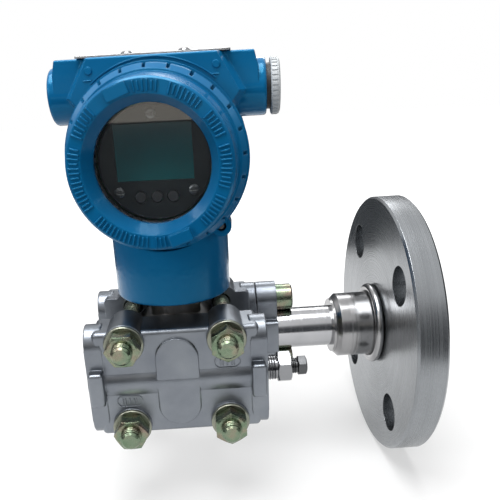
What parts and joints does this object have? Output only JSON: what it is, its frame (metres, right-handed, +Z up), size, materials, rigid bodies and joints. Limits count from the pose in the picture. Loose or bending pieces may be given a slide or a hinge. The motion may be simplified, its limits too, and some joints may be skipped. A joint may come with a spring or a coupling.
{
  "type": "differential pressure transmitter",
  "caption": "Differential pressure transmitter: painted housing with a display on a bolted sensor cell, its high side piped to a drilled process flange with a membrane seal.",
  "frame": {"origin": "centre of the process flange's raised seal face, on the axis of the extension tube", "axes": "+X out of the process flange along the tube, +Y towards the rear cover, +Z up through the sensor's neck"},
  "size_m": [0.1939, 0.1648, 0.2407],
  "materials": {
    "turned_steel": "turned stainless",
    "polished_steel": "polished stainless",
    "membrane_steel": "bright corrugated sheet",
    "cast_steel": "bead-blasted cast stainless",
    "cell_steel": "dull stainless",
    "valve_steel": "bright stainless",
    "dark_steel": "darker stainless",
    "plate_steel": "bare stainless sheet",
    "zinc": "yellow iridescent zinc",
    "blue_paint": "glossy blue paint",
    "aluminium": "plain",
    "brass": "nickelled or bare brass",
    "rubber": "matte",
    "gasket": "white filled gasket sheet",
    "window_glass": "clear toughened glass",
    "display": "dark teal liquid-crystal glass",
    "black_plastic": "black",
    "button_plastic": "dark grey",
    "grey_plastic": "light grey",
    "circuit_board": "green lacquer"
  },
  "bodies": {
    "sensor": {"process_flange": "turned_steel", "seal_hub": "turned_steel", "extension_tube": "polished_steel", "seal_diaphragm": "membrane_steel", "fill_tube": "polished_steel", "oval_adapter": "cast_steel", "adapter_gasket": "gasket", "adapter_screws": "zinc", "front_process_flange": "cast_steel", "rear_process_flange": "cast_steel", "sensor_cell": "cell_steel", "front_isolator": "membrane_steel", "rear_isolator": "membrane_steel", "front_cell_gasket": "gasket", "rear_cell_gasket": "gasket", "neck_seal": "rubber", "sensor_element": "cell_steel", "flange_bolts": "zinc", "flange_nuts": "zinc", "flange_washers": "zinc", "vent_valve_body": "valve_steel", "rear_port_plug": "valve_steel"},
    "bleed": {"bleed_screw": "dark_steel"},
    "head": {"housing": "blue_paint", "housing_set_screw": "dark_steel", "cover_lock_screw": "dark_steel", "nameplate_screws": "valve_steel", "zero_spring": "rubber", "span_spring": "rubber", "display_bezel": "black_plastic", "display_glass": "display", "display_board": "circuit_board", "display_screws": "valve_steel", "board_posts": "brass", "electronics_board": "circuit_board", "terminal_block": "black_plastic", "terminal_screws": "brass", "ground_screw": "brass", "conduit_plug_seal": "rubber", "conduit_plug": "grey_plastic"},
    "plate": {"nameplate": "plate_steel"},
    "zero": {"zero_button": "button_plastic"},
    "span": {"span_button": "button_plastic"},
    "left_push": {"left_key": "button_plastic"},
    "middle_push": {"middle_key": "button_plastic"},
    "right_push": {"right_key": "button_plastic"},
    "front_ring": {"front_cover_seal": "rubber"},
    "front_lid": {"front_cover": "blue_paint", "window_gasket": "rubber", "window_glass": "window_glass", "glass_retainer": "aluminium"},
    "rear_ring": {"rear_cover_seal": "rubber"},
    "rear_lid": {"rear_cover": "blue_paint"}
  },
  "joints": [
    {"name": "housing_swivel", "type": "hinge", "parent": "sensor", "child": "head", "pos_m": [-0.14, -0.027, 0.06], "axis": [0, 0, 1], "range_deg": [-90, 90]},
    {"name": "bleed_turn", "type": "hinge", "parent": "sensor", "child": "bleed", "pos_m": [-0.085, -0.054, 0], "axis": [1, 0, 0], "range_deg": [0, 720]},
    {"name": "nameplate_swing", "type": "hinge", "parent": "head", "child": "plate", "pos_m": [-0.15417, -0.02601, 0.16], "axis": [0, 0, -1], "range_deg": [0, 90]},
    {"name": "zero_press", "type": "slide", "parent": "head", "child": "zero", "axis": [0, 0, -1], "range_m": [0, 0.002], "stiffness_N_per_m": 300, "deforming": ["zero_spring"]},
    {"name": "span_press", "type": "slide", "parent": "head", "child": "span", "axis": [0, 0, -1], "range_m": [0, 0.002], "stiffness_N_per_m": 300, "deforming": ["span_spring"]},
    {"name": "left_key_press", "type": "slide", "parent": "head", "child": "left_push", "axis": [0.0698, 0.9976, 0], "range_m": [0, 0.0005], "stiffness_N_per_m": 200},
    {"name": "middle_key_press", "type": "slide", "parent": "head", "child": "middle_push", "axis": [0.0698, 0.9976, 0], "range_m": [0, 0.0005], "stiffness_N_per_m": 200},
    {"name": "right_key_press", "type": "slide", "parent": "head", "child": "right_push", "axis": [0.0698, 0.9976, 0], "range_m": [0, 0.0005], "stiffness_N_per_m": 200},
    {"name": "front_cover_travel", "type": "slide", "parent": "head", "child": "front_ring", "axis": [-0.0698, -0.9976, 0], "range_m": [0, 0.01]},
    {"name": "front_cover_turn", "type": "hinge", "parent": "front_ring", "child": "front_lid", "pos_m": [-0.14279, -0.0669, 0.1135], "axis": [-0.0698, -0.9976, 0], "range_deg": [0, 1800]},
    {"name": "rear_cover_travel", "type": "slide", "parent": "head", "child": "rear_ring", "axis": [0.0698, 0.9976, 0], "range_m": [0, 0.01]},
    {"name": "rear_cover_turn", "type": "hinge", "parent": "rear_ring", "child": "rear_lid", "pos_m": [-0.13721, 0.0129, 0.1135], "axis": [0.0698, 0.9976, 0], "range_deg": [0, 1800]}
  ],
  "couplings": [
    {"joint": "front_cover_travel", "follows": "front_cover_turn", "m_per_rad": 0.000318},
    {"joint": "rear_cover_travel", "follows": "rear_cover_turn", "m_per_rad": 0.000318}
  ]
}
